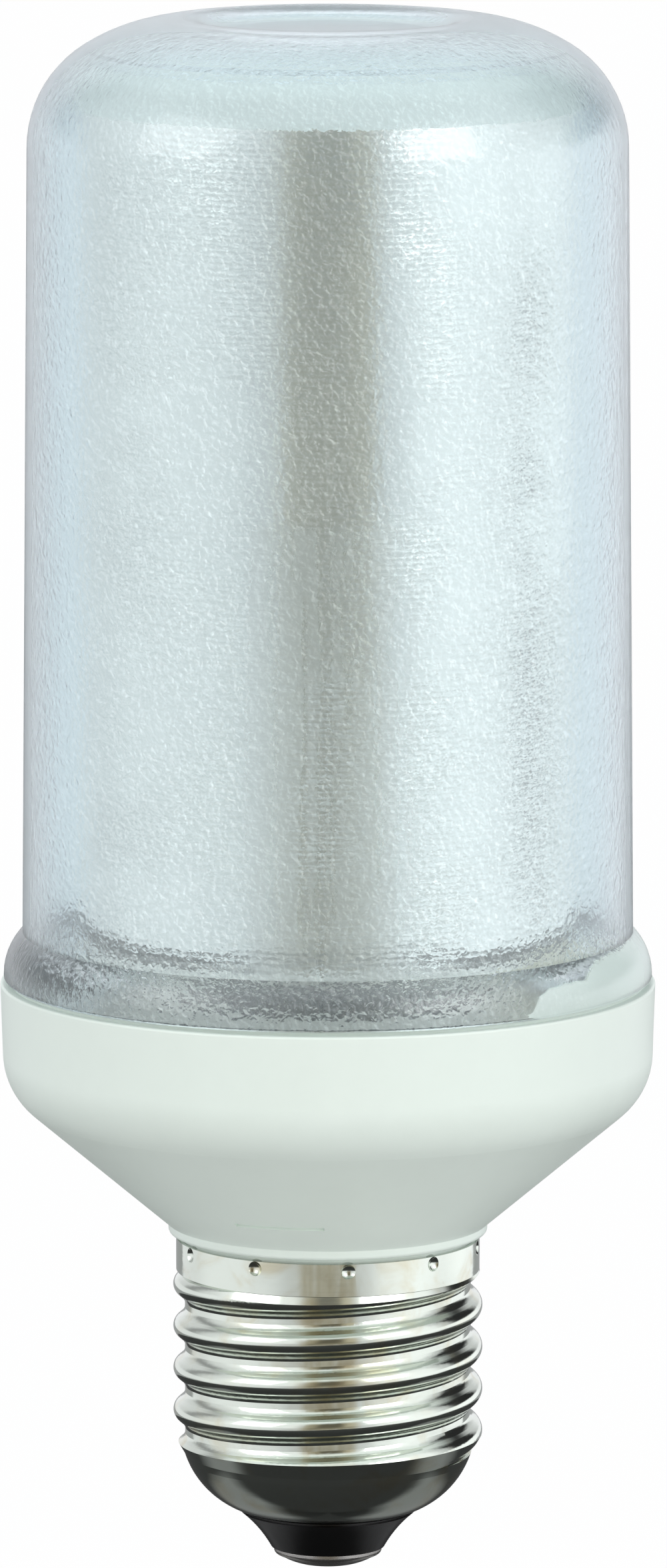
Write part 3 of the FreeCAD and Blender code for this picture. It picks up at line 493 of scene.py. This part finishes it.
@dataclass(frozen=True)
class ClearPebbled:
    """Clear, slightly milky plastic with a pebbled face, and painted highlights (glints) on the
    pebbles.

    The relief is calm where the wall is seen edge-on, full on the flange, and nearly gone where
    adhesive wets it. Spans give where a change starts and ends.
    """

    name: str = "clear_pebbled_plastic"
    tint: Colour = srgb(231, 243, 247)
    tint_drift: float = 0.01
    haze: float = 0.09
    roughness: Span = (0.08, 0.28)
    rough_facing: Span = (0.25, 0.8)
    pebble: float = 0.09 * MM
    strength: Span = (0.55, 0.07)
    strength_facing: Span = (0.1, 0.5)
    flange: Span = (59.0 * MM, 54.0 * MM)
    flange_strength: float = 0.9
    wet_height: Span = (54.0 * MM, 53.4 * MM)
    wet_start: Span = (0.6, 0.7)
    wet_end: Span = (2.3, 2.2)
    wet_calm: float = 0.85
    # The glint settings paint highlights as emission on the pebbles' lit slopes.
    glint: float = 0.8
    glint_limit: float = 0.15
    glint_facing: Span = (0.55, 0.05)
    glint_colour: Colour = (0.95, 1.0, 0.98)
    glint_shift: Place = (0.09 * MM, 0.0, 0.06 * MM)

    def build(self) -> Canvas:
        """Make the material.

        Returns:
            The canvas that holds it.
        """
        canvas = Canvas(self.name)
        tone = canvas.use(Effect.TONE, Color=(*self.tint, 1.0), Spread=self.tint_drift)
        facing = canvas.add("ShaderNodeLayerWeight", Blend=0.5).outputs["Facing"]
        height = canvas.use(Effect.PEBBLE).outputs["Height"]
        canvas.surface(
            Base_Color=tone.outputs["Color"],
            Roughness=canvas.span(facing, self.rough_facing, self.roughness),
            IOR=1.5,
            Transmission_Weight=1.0 - self.haze,
            # Emission paints glints: painted highlights on the pebbles' lit slopes, where the
            # face looks at the viewer.
            Emission_Color=self.glint_colour,
            Emission_Strength=canvas.math("MULTIPLY", self.painted_glint_slope(canvas, height),
                                          canvas.step(facing, *self.glint_facing)),
        )
        calm = canvas.span(facing, self.strength_facing, self.strength)
        place = canvas.add("ShaderNodeSeparateXYZ", Vector=canvas.unrolled(1.0)).outputs
        flange = canvas.math("MULTIPLY", canvas.step(place[1], *self.flange),
                             self.flange_strength)
        strength = canvas.math("MULTIPLY", canvas.math("MAXIMUM", calm, flange),
                               self.dryness(canvas, place[0], place[1]))
        canvas.relief(height, self.pebble, strength)
        return canvas

    def painted_glint_slope(self, canvas: Canvas, height) -> bpy.types.NodeSocket:
        """Painted highlights: emission on the slopes of the pebbles that face the light.

        Args:
            canvas: The material's canvas.
            height: The pebbles' height.

        Returns:
            How much each one glints.
        """
        moved = canvas.add("ShaderNodeVectorMath", {"operation": "ADD"}, _0=canvas.place,
                           _1=self.glint_shift)
        beside = canvas.use(Effect.PEBBLE, Vector=moved.outputs[0]).outputs["Height"]
        slope = canvas.math("MULTIPLY", canvas.math("SUBTRACT", height, beside), self.glint)
        return canvas.add("ShaderNodeClamp", Value=slope, Min=0.0,
                          Max=self.glint_limit).outputs[0]

    def dryness(self, canvas: Canvas, way, height) -> bpy.types.NodeSocket:
        """Where no adhesive wets the wall.

        Args:
            canvas: The material's canvas.
            way: The direction, in radians from the front towards the right.
            height: The height, in metres.

        Returns:
            The share of the relief that is left.
        """
        side = canvas.math("MULTIPLY", canvas.step(way, *self.wet_start),
                           canvas.step(way, *self.wet_end))
        wet = canvas.math("MULTIPLY", canvas.step(height, *self.wet_height), side)
        return canvas.math("MULTIPLY_ADD", wet, -self.wet_calm, 1.0)


@dataclass(frozen=True)
class RingedSilver:
    """The silvery film of the drum: fine rings, a band of painted shade above a foot that is
    hardly metallic, and a brushed front.
    """

    name: str = "ringed_silver"
    colour: Colour = srgb(254, 246, 236)
    colour_drift: float = 0.02
    # The colour of the painted shade at the foot.
    dark: Colour = (0.05, 0.05, 0.05)
    radius: float = 21.0 * MM
    roughness: float = 0.14
    ring_roughness: float = 0.06
    depth: float = 0.02 * MM
    # foot spans the band of painted shade; foot_shade is how dark it is painted.
    foot: Span = (50.45 * MM, 51.35 * MM)
    foot_fade: float = 0.2 * MM
    foot_shade: float = 0.85
    foot_metal: Span = (0.1, 1.0)
    brushed_height: Span = (92.5 * MM, 91.5 * MM)
    brushed_way: Span = (9.0 * MM, 4.5 * MM)
    brushed_roughness: Span = (0.03, 0.16)
    brushed_scale: float = 650.0
    brushed_squeeze: Place = (1.0, 0.04, 1.0)

    def build(self) -> Canvas:
        """Make the material.

        Returns:
            The canvas that holds it.
        """
        canvas = Canvas(self.name)
        place = canvas.unrolled(self.radius)
        tone = canvas.use(Effect.TONE, Color=(*self.colour, 1.0), Vector=place,
                          Spread=self.colour_drift)
        rings = canvas.use(Effect.RINGS, Vector=place)
        height = canvas.add("ShaderNodeSeparateXYZ", Vector=place).outputs[1]
        # Painted shade: the film is darkened in a band just above its foot.
        low, high = self.foot
        painted_shade_band = canvas.math("MULTIPLY", canvas.step(height, low - self.foot_fade, low),
                           canvas.step(height, high, high - self.foot_fade))
        shade = canvas.math("MULTIPLY", painted_shade_band, self.foot_shade)
        plain = canvas.between(rings.outputs["Mask"], self.roughness,
                               self.roughness + self.ring_roughness)
        canvas.surface(
            Base_Color=canvas.blend(shade, tone.outputs["Color"], self.dark),
            Metallic=canvas.span(height, (low - 0.5 * self.foot_fade, low), self.foot_metal),
            Roughness=canvas.math("ADD", plain, self.brushing(canvas, place)),
        )
        canvas.relief(rings.outputs["Height"], self.depth)
        return canvas

    def brushing(self, canvas: Canvas, place) -> bpy.types.NodeSocket:
        """The brushed patch at the front.

        Args:
            canvas: The material's canvas.
            place: The unrolled coordinates.

        Returns:
            The roughness that it adds.
        """
        drawn = canvas.add("ShaderNodeVectorMath", {"operation": "MULTIPLY"}, _0=place,
                           _1=self.brushed_squeeze)
        streak = canvas.step(canvas.noise(drawn.outputs[0], self.brushed_scale, 2.0), 0.35, 0.65)
        parts = canvas.add("ShaderNodeSeparateXYZ", Vector=place).outputs
        patch = canvas.math("MULTIPLY", canvas.step(parts[1], *self.brushed_height),
                            canvas.step(canvas.math("ABSOLUTE", parts[0]), *self.brushed_way))
        least, more = self.brushed_roughness
        return canvas.math("MULTIPLY", patch,
                           canvas.math("MULTIPLY_ADD", streak, more, least))


def dress(piece: bpy.types.Object, canvas: Canvas) -> None:
    """Give a piece one material all over.

    Args:
        piece: The mesh object.
        canvas: The material's canvas.
    """
    piece.data.materials.clear()
    piece.data.materials.append(canvas.material)


@dataclass
class Assembly:
    """A sub-assembly of the lamp: it dresses its nodes and may build more pieces."""

    nodes: dict[str, bpy.types.Object]

    def dress_all(self, finishes: dict[str, Canvas]) -> None:
        """Dress nodes by name.

        Args:
            finishes: The canvas of each node.
        """
        for name, canvas in finishes.items():
            dress(self.nodes[name], canvas)
            LOG.info("dressed %s with %s", name, canvas.material.name)


@dataclass
class Cover(Assembly):
    """The pebbled cover, its adhesive, and the smear of adhesive behind its flange."""

    smear_foot: float = 49.55 * MM
    smear_top: float = 53.5 * MM
    smear_radii: Span = (24.37 * MM, 24.63 * MM)
    smear_span: Span = (40.0, 128.0)
    smear_edge: Stops = (
        (40.0, 0.75), (42.0, 0.6), (44.0, 0.38), (46.0, 0.32), (50.0, 0.3), (54.0, 0.29),
        (57.0, 0.31), (58.5, 0.2), (61.0, 0.06), (66.0, 0.0), (80.0, 0.0), (95.0, 0.08),
        (110.0, 0.3), (120.0, 0.6), (128.0, 1.0),
    )
    smear_sides: int = 240
    smear_waves: tuple[Span, ...] = ((0.025, 1.9), (0.02, 4.3))
    smear_least: float = 0.03
    smear_thickness: float = 0.3 * MM
    smear_bevel: float = 0.09 * MM
    smooth_angle: float = 40.0

    def build(self) -> None:
        """Dress the nodes and build the smear."""
        adhesive = Moulded("white_adhesive", srgb(226, 234, 224), 0.5, 0.03 * MM, 0.03).build()
        self.dress_all({"diffuser_cover": ClearPebbled().build(), "cover_adhesive": adhesive})
        smear = self.smear()
        # The smear is painted lighter than the white adhesive and glows: painted light.
        dress(smear, Moulded("smeared_adhesive_painted_light", srgb(240, 247, 238), 0.5, 0.05 * MM, 0.03,
                             0.28).build())
        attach(smear, BODY)
        LOG.info("built %s", smear.name)

    def share_missing(self, degrees: float) -> float:
        """How far the smear's upper edge drops, as a share of its height.

        Args:
            degrees: The direction, from the front towards the right.

        Returns:
            The share, 0 at the full height.
        """
        spots = self.smear_edge
        for (start, first), (end, second) in zip(spots, spots[1:]):
            if start <= degrees <= end:
                share = (degrees - start) / (end - start)
                return first + (second - first) * share
        return 1.0

    def smear(self) -> bpy.types.Object:
        """Squeezed-out adhesive on the inner face of the cover's flange, at the right.

        Returns:
            The mesh object.
        """
        height = self.smear_top - self.smear_foot
        bpy.ops.mesh.primitive_cone_add(
            vertices=self.smear_sides, radius1=self.smear_radii[0],
            radius2=self.smear_radii[1], depth=height, end_fill_type="NOTHING",
            location=(0, 0, self.smear_foot + height / 2))
        smear = bpy.context.object
        smear.name = "adhesive_smear"
        bpy.ops.object.transform_apply(location=True, rotation=True, scale=True)
        bpy.ops.object.mode_set(mode="EDIT")
        bpy.ops.mesh.select_mode(type="VERT")
        bpy.ops.mesh.select_all(action="DESELECT")
        mesh = bmesh.from_edit_mesh(smear.data)
        for corner in mesh.verts:
            corner.select_set(not self.smear_span[0] < self.direction(corner.co)
                              < self.smear_span[1])
        bmesh.update_edit_mesh(smear.data)
        bpy.ops.mesh.delete(type="VERT")
        mesh = bmesh.from_edit_mesh(smear.data)
        for index in range(len(mesh.verts)):
            mesh = bmesh.from_edit_mesh(smear.data)
            mesh.verts.ensure_lookup_table()
            corner = mesh.verts[index]
            if corner.co.z < self.smear_top - height / 2:
                continue
            degrees = self.direction(corner.co)
            ragged = sum(size * math.sin(rate * degrees) for size, rate in self.smear_waves)
            drop = min(1.0 - self.smear_least, self.share_missing(degrees) + abs(ragged))
            bpy.ops.mesh.select_all(action="DESELECT")
            mesh.verts[index].select_set(True)
            bpy.ops.transform.translate(value=(0, 0, -drop * height))
        bpy.ops.object.mode_set(mode="OBJECT")
        for kind, settings in (
            ("SOLIDIFY", {"thickness": self.smear_thickness, "offset": -1.0}),
            ("BEVEL", {"width": self.smear_bevel, "segments": 2, "limit_method": "ANGLE"}),
        ):
            modifier = smear.modifiers.new(kind.lower(), kind)
            for name, value in settings.items():
                setattr(modifier, name, value)
            bpy.ops.object.modifier_apply(modifier=modifier.name)
        bpy.ops.object.shade_smooth_by_angle(angle=math.radians(self.smooth_angle))
        return smear

    @staticmethod
    def direction(place: Vector) -> float:
        """The direction of a point about the lamp's axis.

        Args:
            place: The point.

        Returns:
            Degrees from the front towards the right.
        """
        return math.degrees(math.atan2(place.x, -place.y))


@dataclass
class Drum(Assembly):
    """What stands inside the cover: sleeve, cap, carrier and the light source."""

    def build(self) -> None:
        """Dress the nodes."""
        metal = Plated("carrier_aluminium", srgb(232, 232, 226), srgb(214, 214, 208),
                       18.0 * MM, 0.25).build()
        self.dress_all({
            "inner_sleeve": RingedSilver().build(),
            # The cap's glow is painted light: emission in its own cream colour.
            "drum_cap": Moulded("cream_moulding_painted_glow", srgb(252, 252, 244), 0.5, glow=0.13).build(),
            "led_carrier": metal,
            "led_flex_board": Moulded("white_solder_mask", srgb(236, 238, 236), 0.35).build(),
        })
        package = Moulded("led_package", srgb(238, 205, 96), 0.3).build()
        rows = [name for name in self.nodes if name.startswith("led_row_")]
        self.dress_all({name: package for name in rows})


@dataclass
class Housing(Assembly):
    """The off-white cup and cone."""

    def build(self) -> None:
        """Dress the node."""
        canvas = Moulded("mint_white_moulding", srgb(226, 237, 229), 0.38, 0.004 * MM).build()
        self.dress_all({"base_housing": canvas})


@dataclass
class ScrewCap(Assembly):
    """The rolled shell, the insulator and the centre contact."""

    def build(self) -> None:
        """Dress the nodes."""
        black = Moulded("black_insulator", srgb(7, 7, 7), 0.3, 0.004 * MM, 0.2).build()
        self.dress_all({
            "screw_shell": Plated("bright_nickel", srgb(209, 216, 206), srgb(200, 197, 174),
                                  13.0 * MM, 0.07).build(),
            "cap_insulator": black,
            "centre_contact": Plated("contact_metal", srgb(205, 203, 198), srgb(170, 164, 152),
                                     4.6 * MM, 0.22).build(),
        })


@dataclass
class Driver(Assembly):
    """The driver board, its parts and the two leads."""

    def build(self) -> None:
        """Dress the nodes."""
        dark = Moulded("black_epoxy", srgb(30, 30, 31), 0.45).build()
        can = Moulded("dark_can_sleeve", srgb(44, 46, 58), 0.3).build()
        self.dress_all({
            "driver_board": Moulded("green_solder_mask", srgb(26, 88, 46), 0.3).build(),
            "bulk_capacitor": can,
            "output_capacitor": can,
            "power_inductor": Plated("enamelled_copper", srgb(196, 112, 62), srgb(150, 78, 40),
                                     4.5 * MM, 0.3).build(),
            "film_capacitor": Moulded("red_coating", srgb(150, 34, 26), 0.25).build(),
            "bridge_rectifier": dark,
            "driver_chip": dark,
            "flyback_diode": dark,
            "chip_resistors": dark,
            "fusible_resistor": Moulded("resistor_coating", srgb(92, 128, 118), 0.5).build(),
            "board_connector": Moulded("ivory_moulding", srgb(230, 224, 204), 0.45).build(),
            "live_lead": Moulded("red_insulation", srgb(150, 22, 20), 0.4).build(),
            "neutral_lead": Moulded("black_insulation", srgb(24, 24, 25), 0.4).build(),
        })


@dataclass(frozen=True)
class Lamp:
    """A soft box that points at the lamp's middle."""

    name: str
    place: Place
    size: float
    power: float
    mirrored: bool = True

    def build(self, target: Vector) -> None:
        """Put it in the scene.

        Args:
            target: What it points at.
        """
        light = bpy.data.lights.new(self.name, "AREA")
        light.energy = self.power
        light.size = self.size
        lamp = bpy.data.objects.new(self.name, light)
        bpy.context.scene.collection.objects.link(lamp)
        lamp.location = self.place
        lamp.visible_glossy = self.mirrored
        lamp.visible_transmission = self.mirrored
        lamp.rotation_euler = (target - Vector(self.place)).to_track_quat("-Z", "Y").to_euler()


@dataclass(frozen=True)
class Surroundings:
    """A room that gives light by direction: walls, darker strips in front, and a ceiling.

    The stops give brightness by direction, in degrees once round from the back. Falls and rises
    are the downward and upward parts of a direction.
    """

    walls: Stops = (
        (0, 1.07), (56, 1.05), (83, 1.2), (109, 1.2), (131, 1.1), (155, 0.8), (168, 0.27),
        (185, 0.25), (195, 0.4), (208, 0.93), (226, 1.4), (250, 1.5), (276, 1.4), (300, 1.5),
        (318, 1.4), (335, 1.15), (360, 1.07))
    lower_walls: Stops = (
        (0, 0.5), (52, 0.4), (80, 0.8), (110, 1.0), (150, 0.6), (170, 0.15), (190, 0.15),
        (212, 1.0), (240, 1.3), (268, 1.1), (284, 0.04), (318, 0.04), (334, 0.4), (360, 0.5))
    upper_walls: Stops = (
        (0, 1.15), (36, 0.9), (52, 0.42), (75, 1.0), (100, 1.3), (150, 1.25), (166, 0.4),
        (174, 0.15), (186, 0.15), (196, 0.6), (212, 1.3), (240, 1.5), (262, 1.4), (280, 0.8),
        (290, 0.03), (318, 0.03), (330, 0.8), (345, 1.15), (360, 1.15))
    ceiling: Colour = (1.24, 1.29, 1.31)
    ceiling_rise: Span = (0.55, 0.85)
    upper_rise: Span = (0.05, 0.15)
    lower_fall: Span = (0.2, 0.27)
    streak_fall: Span = (0.136, 0.144)
    streak_scale: float = 14.0
    streak_level: Span = (0.41, 0.26)
    dark_half: float = 0.6
    dark_level: Span = (0.9, 0.3)
    cool: Colour = (1.0, 1.0, 1.04)
    warm: Colour = (1.13, 0.98, 0.72)
    strength: float = 0.95
    diffuse_dimming: float = 0.17

    def build(self) -> None:
        """Make the world, which is plain white to the camera."""
        world = bpy.data.worlds.new("studio")
        bpy.context.scene.world = world
        world.use_nodes = True
        world.node_tree.nodes.clear()
        graph = Graph(world.node_tree)
        path = graph.add("ShaderNodeLightPath")
        dimmed = graph.math("MULTIPLY", path.outputs["Is Diffuse Ray"], self.diffuse_dimming)
        light = graph.add("ShaderNodeBackground", Color=self.colour(graph),
                          Strength=graph.math("SUBTRACT", self.strength, dimmed))
        seen = graph.add("ShaderNodeBackground", Color=(1.0, 1.0, 1.0), Strength=1.0)
        mixed = graph.add("ShaderNodeMixShader", _0=path.outputs["Is Camera Ray"],
                          _1=light.outputs[0], _2=seen.outputs[0])
        output = graph.add("ShaderNodeOutputWorld")
        graph.feed(output.inputs["Surface"], mixed.outputs[0])

    def colour(self, graph: Graph) -> bpy.types.NodeSocket:
        """What the bright pieces mirror, by direction.

        Args:
            graph: The world's graph.

        Returns:
            The colour.
        """
        way = graph.add("ShaderNodeSeparateXYZ",
                        Vector=graph.add("ShaderNodeTexCoord").outputs["Generated"])
        turn = graph.math("ARCTAN2", way.outputs[0],
                          graph.math("MULTIPLY", way.outputs[1], -1.0))
        rise = way.outputs[2]
        fall = graph.math("MULTIPLY", rise, -1.0)
        share = graph.math("ADD", graph.math("DIVIDE", turn, 2 * math.pi), 0.5)
        streaks = graph.math("MULTIPLY", self.streaks(graph, turn),
                             graph.step(fall, *self.streak_fall))
        level = graph.math("MAXIMUM", self.ramp(graph, share, self.walls), streaks)
        front = graph.math("LESS_THAN", graph.math("ABSOLUTE", turn), self.dark_half)
        warmth = graph.math("MULTIPLY", front, graph.step(level, *self.dark_level))
        low = graph.blend(graph.step(fall, *self.lower_fall), level,
                          self.ramp(graph, share, self.lower_walls))
        mid = graph.blend(graph.step(rise, *self.upper_rise), low,
                          self.ramp(graph, share, self.upper_walls))
        toned = graph.add("ShaderNodeVectorMath", {"operation": "MULTIPLY"}, _0=mid,
                          _1=graph.blend(warmth, self.cool, self.warm))
        return graph.blend(graph.step(rise, *self.ceiling_rise), toned.outputs[0], self.ceiling)

    def streaks(self, graph: Graph, turn) -> bpy.types.NodeSocket:
        """Upright pale streaks, low in front.

        Args:
            graph: The world's graph.
            turn: The direction, in radians from the front.

        Returns:
            The brightness.
        """
        spread = graph.add("ShaderNodeCombineXYZ", X=graph.math("MULTIPLY", turn,
                                                                self.streak_scale))
        streak = graph.step(graph.noise(spread.outputs[0], 1.0, 3.0), 0.3, 0.7)
        least, more = self.streak_level
        return graph.math("MULTIPLY_ADD", streak, more, least)

    @staticmethod
    def ramp(graph: Graph, share, stops: Stops) -> bpy.types.NodeSocket:
        """Brightness by direction.

        Args:
            graph: The world's graph.
            share: The direction, 0 to 1 once round from the back.
            stops: Directions in degrees, each with its brightness.

        Returns:
            The brightness.
        """
        node = graph.add("ShaderNodeValToRGB", Fac=share)
        ramp = node.color_ramp
        ramp.interpolation = "EASE"
        for degrees, level in stops:
            spot = ramp.elements.new(degrees / 360)
            spot.color = (level, level, level, 1.0)
        ramp.elements.remove(ramp.elements[0])
        ramp.elements.remove(ramp.elements[len(ramp.elements) - 1])
        return node.outputs[0]


@dataclass(frozen=True)
class Studio:
    """The floor, the card, the lamps, the surroundings and the camera."""

    floor_place: Place = (0.0, 3.7, -0.25)
    floor_scale: Place = (1.6, 9.0, 1.0)
    floor_colour: Colour = (0.4, 0.4, 0.4)
    floor_glow: float = 1.1
    floor_share: float = 0.85
    card_radius: float = 0.16
    card_height: float = -0.03
    card_colour: Colour = (0.02, 0.02, 0.02)
    card_rings: Stops = ((0.08, 0.01), (0.14, 0.24), (0.32, 0.24), (0.42, 0.02))
    card_start: Span = (1.4, 1.75)
    card_end: Span = (2.95, 2.65)
    matt: float = 0.9
    aim: Place = (0.0, 0.0, 0.07)
    lamps: tuple[Lamp, ...] = (
        Lamp("key", (0.75, -0.75, 0.55), 0.6, 3.0),
        Lamp("fill", (-0.9, -0.5, 0.6), 0.7, 2.2),
        Lamp("front", (0.06, -0.5, -0.2), 0.3, 0.9, mirrored=False),
    )
    camera_place: Place = (0.0, -1.0, 0.225)
    camera_pitch: float = 8.967
    lens: float = 275.017
    shift: float = 0.0036

    def build(self) -> None:
        """Set up everything round the lamp."""
        Surroundings().build()
        self.floor()
        self.card()
        for lamp in self.lamps:
            lamp.build(Vector(self.aim))
        self.camera()

    def floor(self) -> None:
        """A plain pale floor well below the lamp, clear when it is seen from underneath."""
        bpy.ops.mesh.primitive_plane_add(size=1.0)
        floor = bpy.context.object
        floor.name = "floor"
        floor.location = self.floor_place
        floor.scale = self.floor_scale
        canvas = Canvas("pale_floor")
        canvas.surface(Base_Color=self.floor_colour, Roughness=self.matt)
        glow = canvas.add("ShaderNodeEmission", Color=(1.0, 1.0, 1.0), Strength=self.floor_glow)
        path = canvas.add("ShaderNodeLightPath")
        seen = canvas.math("MAXIMUM", path.outputs["Is Camera Ray"],
                           path.outputs["Is Transmission Ray"])
        upper = canvas.add("ShaderNodeMixShader",
                           _0=canvas.math("MULTIPLY", seen, self.floor_share),
                           _1=canvas.shader.outputs[0], _2=glow.outputs[0])
        clear = canvas.add("ShaderNodeBsdfTransparent")
        behind = canvas.add("ShaderNodeNewGeometry").outputs["Backfacing"]
        whole = canvas.add("ShaderNodeMixShader", _0=behind, _1=upper.outputs[0],
                           _2=clear.outputs[0])
        output = next(n for n in canvas.tree.nodes if n.type == "OUTPUT_MATERIAL")
        canvas.feed(output.inputs["Surface"], whole.outputs[0])
        dress(floor, canvas)

    def card(self) -> None:
        """A black card under the lamp that only its bright metal and plastic mirror."""
        bpy.ops.mesh.primitive_circle_add(radius=self.card_radius, vertices=64,
                                          fill_type="NGON", location=(0, 0, self.card_height))
        card = bpy.context.object
        card.name = "black_card"
        canvas = Canvas("black_card")
        parts = canvas.add("ShaderNodeSeparateXYZ", Vector=canvas.unrolled(1.0)).outputs
        rings = canvas.add("ShaderNodeValToRGB",
                           Fac=canvas.math("DIVIDE", parts[2], self.card_radius))
        for share, level in self.card_rings:
            spot = rings.color_ramp.elements.new(share)
            spot.color = (level, level, level, 1.0)
        rings.color_ramp.elements[-1].color = (*self.card_colour, 1.0)
        way = canvas.math("ABSOLUTE", parts[0])
        aside = canvas.math("MULTIPLY", canvas.step(way, *self.card_start),
                            canvas.step(way, *self.card_end))
        canvas.surface(Base_Color=canvas.blend(aside, self.card_colour, rings.outputs[0]),
                       Roughness=self.matt)
        dress(card, canvas)
        card.visible_camera = False
        card.visible_transmission = False
        card.visible_shadow = False
        card.visible_diffuse = False

    def camera(self) -> None:
        """The camera, a little above the lamp and far away."""
        data = bpy.data.cameras.new("camera")
        data.lens = self.lens
        data.sensor_width = 36.0
        data.shift_x = self.shift
        data.clip_start = 0.05
        camera = bpy.data.objects.new("camera", data)
        camera.location = self.camera_place
        camera.rotation_euler = (math.radians(90.0 - self.camera_pitch), 0.0, 0.0)
        bpy.context.scene.collection.objects.link(camera)
        bpy.context.scene.camera = camera


def main() -> None:
    """Build the whole scene."""
    logging.basicConfig(level=logging.INFO, format="%(message)s")
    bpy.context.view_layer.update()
    bpy.context.scene.view_settings.view_transform = "Standard"
    EFFECTS.build()
    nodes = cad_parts
    for kind in (Cover, Drum, Housing, ScrewCap, Driver):
        kind(nodes).build()
        LOG.info("built %s", kind.__name__)
    Studio().build()


if __name__ == "__main__":
    main()
